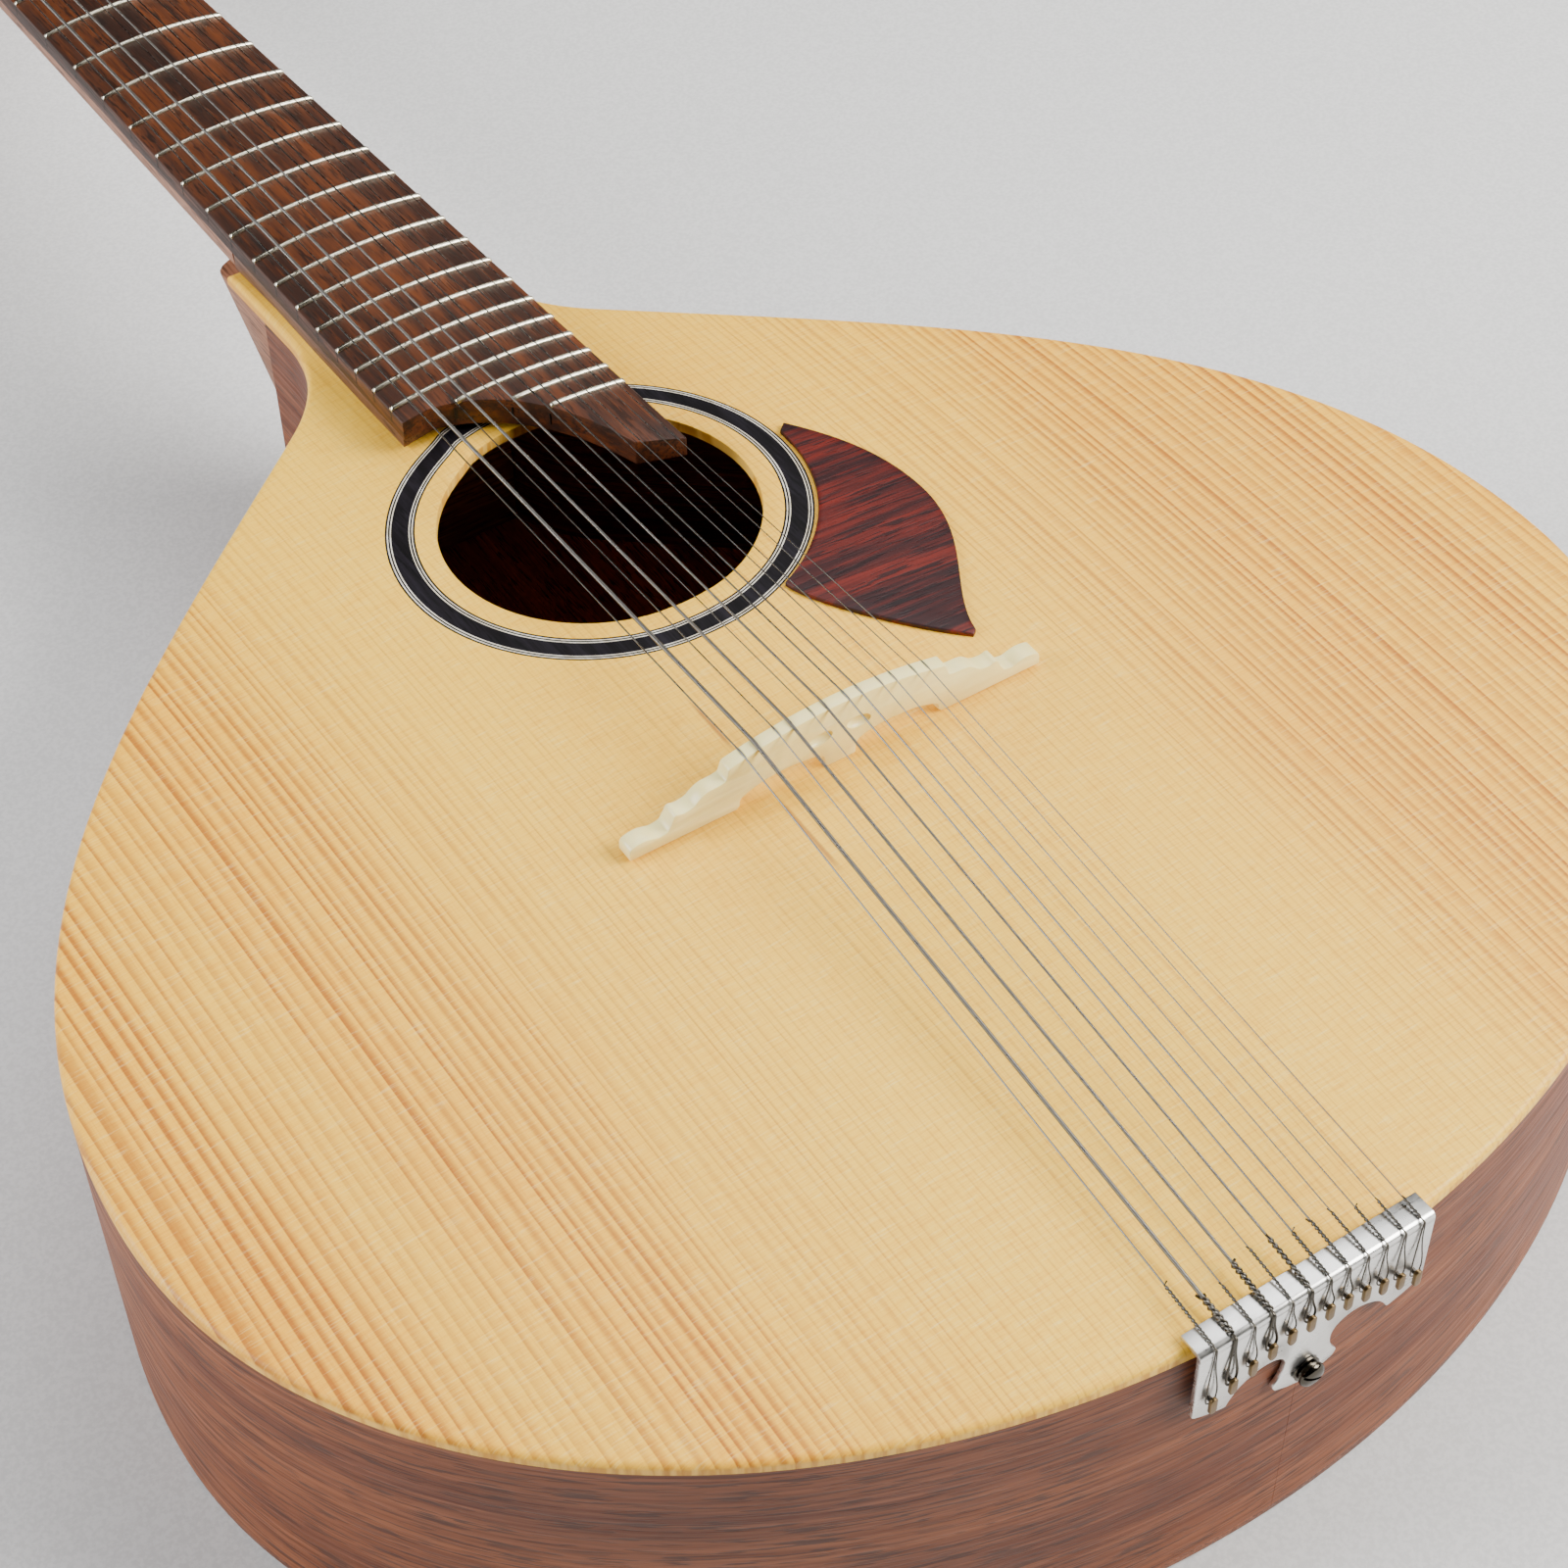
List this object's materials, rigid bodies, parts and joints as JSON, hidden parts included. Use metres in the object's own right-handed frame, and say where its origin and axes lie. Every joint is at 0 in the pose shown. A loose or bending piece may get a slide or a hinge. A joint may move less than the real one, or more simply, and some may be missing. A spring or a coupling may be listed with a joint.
{
  "type": "twelve-string Portuguese guitar",
  "caption": "Flat-backed teardrop cittern with a fretted neck, paired metal strings over a floating bridge, a hooked tailpiece and a fan of tuning screws.",
  "frame": {"origin": "outer face of the back, directly under the string line of the bridge", "axes": "+X towards the treble side, +Y along the neck towards the head, +Z out of the soundboard"},
  "size_m": [0.383, 0.7806, 0.1142],
  "materials": {
    "spruce": "satin varnish over straight-grained spruce",
    "rosette_black": "black and white inlaid lines, satin",
    "mahogany": "open-pored red-brown wood, satin",
    "inner_wood": "bare light wood",
    "rosewood": "oiled dark rosewood",
    "guard_wood": "polished striped rosewood",
    "neck_wood": "satin red-brown wood",
    "bone": "polished bone, slightly translucent",
    "nickel": "bright nickel plate",
    "screw_steel": "polished steel",
    "string_steel": "drawn wire, thick strings wound",
    "brass": "satin brass"
  },
  "bodies": {
    "instrument": {"soundboard": "spruce", "rosette": "rosette_black", "back": "mahogany", "rib_treble": "mahogany", "rib_bass": "mahogany", "neck_block": "inner_wood", "tail_block": "inner_wood", "top_brace_1": "inner_wood", "top_brace_2": "inner_wood", "top_brace_3": "inner_wood", "back_brace_1": "inner_wood", "back_brace_2": "inner_wood", "back_brace_3": "inner_wood", "fingerboard": "rosewood", "fingerboard_wedge": "rosewood", "neck": "neck_wood", "nut": "bone", "bridge": "bone", "pickguard": "guard_wood", "tailpiece": "nickel", "tail_screw": "screw_steel", "head": "neck_wood", "tuner_plate": "nickel", "tuner_rail": "nickel", "string_1": "string_steel", "string_2": "string_steel", "string_3": "string_steel", "string_4": "string_steel", "string_5": "string_steel", "string_6": "string_steel", "string_7": "string_steel", "string_8": "string_steel", "string_9": "string_steel", "string_10": "string_steel", "string_11": "string_steel", "string_12": "string_steel"},
    "knob_1": {"tuner_knob_1": "brass"},
    "hook_1": {"tuner_hook_1": "brass"},
    "knob_2": {"tuner_knob_2": "brass"},
    "hook_2": {"tuner_hook_2": "brass"},
    "knob_3": {"tuner_knob_3": "brass"},
    "hook_3": {"tuner_hook_3": "brass"},
    "knob_4": {"tuner_knob_4": "brass"},
    "hook_4": {"tuner_hook_4": "brass"},
    "knob_5": {"tuner_knob_5": "brass"},
    "hook_5": {"tuner_hook_5": "brass"},
    "knob_6": {"tuner_knob_6": "brass"},
    "hook_6": {"tuner_hook_6": "brass"},
    "knob_7": {"tuner_knob_7": "brass"},
    "hook_7": {"tuner_hook_7": "brass"},
    "knob_8": {"tuner_knob_8": "brass"},
    "hook_8": {"tuner_hook_8": "brass"},
    "knob_9": {"tuner_knob_9": "brass"},
    "hook_9": {"tuner_hook_9": "brass"},
    "knob_10": {"tuner_knob_10": "brass"},
    "hook_10": {"tuner_hook_10": "brass"},
    "knob_11": {"tuner_knob_11": "brass"},
    "hook_11": {"tuner_hook_11": "brass"},
    "knob_12": {"tuner_knob_12": "brass"},
    "hook_12": {"tuner_hook_12": "brass"}
  },
  "joints": [
    {"name": "knob_1_turn", "type": "hinge", "parent": "instrument", "child": "knob_1", "pos_m": [0, 0.395, 0.08215], "axis": [-0.247, 0.969, 0], "range_deg": [-7201, 4321]},
    {"name": "hook_1_slide", "type": "slide", "parent": "instrument", "child": "hook_1", "axis": [-0.247, 0.969, 0], "range_m": [-0.006, 0.01], "deforming": ["string_1"]},
    {"name": "knob_2_turn", "type": "hinge", "parent": "instrument", "child": "knob_2", "pos_m": [0, 0.395, 0.08215], "axis": [-0.2028, 0.9792, 0], "range_deg": [-7201, 4321]},
    {"name": "hook_2_slide", "type": "slide", "parent": "instrument", "child": "hook_2", "axis": [-0.2028, 0.9792, 0], "range_m": [-0.006, 0.01], "deforming": ["string_2"]},
    {"name": "knob_3_turn", "type": "hinge", "parent": "instrument", "child": "knob_3", "pos_m": [0, 0.395, 0.08215], "axis": [-0.1582, 0.9874, 0], "range_deg": [-7201, 4321]},
    {"name": "hook_3_slide", "type": "slide", "parent": "instrument", "child": "hook_3", "axis": [-0.1582, 0.9874, 0], "range_m": [-0.006, 0.01], "deforming": ["string_3"]},
    {"name": "knob_4_turn", "type": "hinge", "parent": "instrument", "child": "knob_4", "pos_m": [0, 0.395, 0.08215], "axis": [-0.1132, 0.9936, 0], "range_deg": [-7201, 4321]},
    {"name": "hook_4_slide", "type": "slide", "parent": "instrument", "child": "hook_4", "axis": [-0.1132, 0.9936, 0], "range_m": [-0.006, 0.01], "deforming": ["string_4"]},
    {"name": "knob_5_turn", "type": "hinge", "parent": "instrument", "child": "knob_5", "pos_m": [0, 0.395, 0.08215], "axis": [-0.068, 0.9977, 0], "range_deg": [-7201, 4321]},
    {"name": "hook_5_slide", "type": "slide", "parent": "instrument", "child": "hook_5", "axis": [-0.068, 0.9977, 0], "range_m": [-0.006, 0.01], "deforming": ["string_5"]},
    {"name": "knob_6_turn", "type": "hinge", "parent": "instrument", "child": "knob_6", "pos_m": [0, 0.395, 0.08215], "axis": [-0.0227, 0.9997, 0], "range_deg": [-7201, 4321]},
    {"name": "hook_6_slide", "type": "slide", "parent": "instrument", "child": "hook_6", "axis": [-0.0227, 0.9997, 0], "range_m": [-0.006, 0.01], "deforming": ["string_6"]},
    {"name": "knob_7_turn", "type": "hinge", "parent": "instrument", "child": "knob_7", "pos_m": [0, 0.395, 0.08215], "axis": [0.0227, 0.9997, 0], "range_deg": [-7201, 4321]},
    {"name": "hook_7_slide", "type": "slide", "parent": "instrument", "child": "hook_7", "axis": [0.0227, 0.9997, 0], "range_m": [-0.006, 0.01], "deforming": ["string_7"]},
    {"name": "knob_8_turn", "type": "hinge", "parent": "instrument", "child": "knob_8", "pos_m": [0, 0.395, 0.08215], "axis": [0.068, 0.9977, 0], "range_deg": [-7201, 4321]},
    {"name": "hook_8_slide", "type": "slide", "parent": "instrument", "child": "hook_8", "axis": [0.068, 0.9977, 0], "range_m": [-0.006, 0.01], "deforming": ["string_8"]},
    {"name": "knob_9_turn", "type": "hinge", "parent": "instrument", "child": "knob_9", "pos_m": [0, 0.395, 0.08215], "axis": [0.1132, 0.9936, 0], "range_deg": [-7201, 4321]},
    {"name": "hook_9_slide", "type": "slide", "parent": "instrument", "child": "hook_9", "axis": [0.1132, 0.9936, 0], "range_m": [-0.006, 0.01], "deforming": ["string_9"]},
    {"name": "knob_10_turn", "type": "hinge", "parent": "instrument", "child": "knob_10", "pos_m": [0, 0.395, 0.08215], "axis": [0.1582, 0.9874, 0], "range_deg": [-7201, 4321]},
    {"name": "hook_10_slide", "type": "slide", "parent": "instrument", "child": "hook_10", "axis": [0.1582, 0.9874, 0], "range_m": [-0.006, 0.01], "deforming": ["string_10"]},
    {"name": "knob_11_turn", "type": "hinge", "parent": "instrument", "child": "knob_11", "pos_m": [0, 0.395, 0.08215], "axis": [0.2028, 0.9792, 0], "range_deg": [-7201, 4321]},
    {"name": "hook_11_slide", "type": "slide", "parent": "instrument", "child": "hook_11", "axis": [0.2028, 0.9792, 0], "range_m": [-0.006, 0.01], "deforming": ["string_11"]},
    {"name": "knob_12_turn", "type": "hinge", "parent": "instrument", "child": "knob_12", "pos_m": [0, 0.395, 0.08215], "axis": [0.247, 0.969, 0], "range_deg": [-7201, 4321]},
    {"name": "hook_12_slide", "type": "slide", "parent": "instrument", "child": "hook_12", "axis": [0.247, 0.969, 0], "range_m": [-0.006, 0.01], "deforming": ["string_12"]}
  ],
  "couplings": [
    {"joint": "knob_1_turn", "follows": "hook_1_slide", "rad_per_m": -12566},
    {"joint": "knob_2_turn", "follows": "hook_2_slide", "rad_per_m": -12566},
    {"joint": "knob_3_turn", "follows": "hook_3_slide", "rad_per_m": -12566},
    {"joint": "knob_4_turn", "follows": "hook_4_slide", "rad_per_m": -12566},
    {"joint": "knob_5_turn", "follows": "hook_5_slide", "rad_per_m": -12566},
    {"joint": "knob_6_turn", "follows": "hook_6_slide", "rad_per_m": -12566},
    {"joint": "knob_7_turn", "follows": "hook_7_slide", "rad_per_m": -12566},
    {"joint": "knob_8_turn", "follows": "hook_8_slide", "rad_per_m": -12566},
    {"joint": "knob_9_turn", "follows": "hook_9_slide", "rad_per_m": -12566},
    {"joint": "knob_10_turn", "follows": "hook_10_slide", "rad_per_m": -12566},
    {"joint": "knob_11_turn", "follows": "hook_11_slide", "rad_per_m": -12566},
    {"joint": "knob_12_turn", "follows": "hook_12_slide", "rad_per_m": -12566}
  ]
}
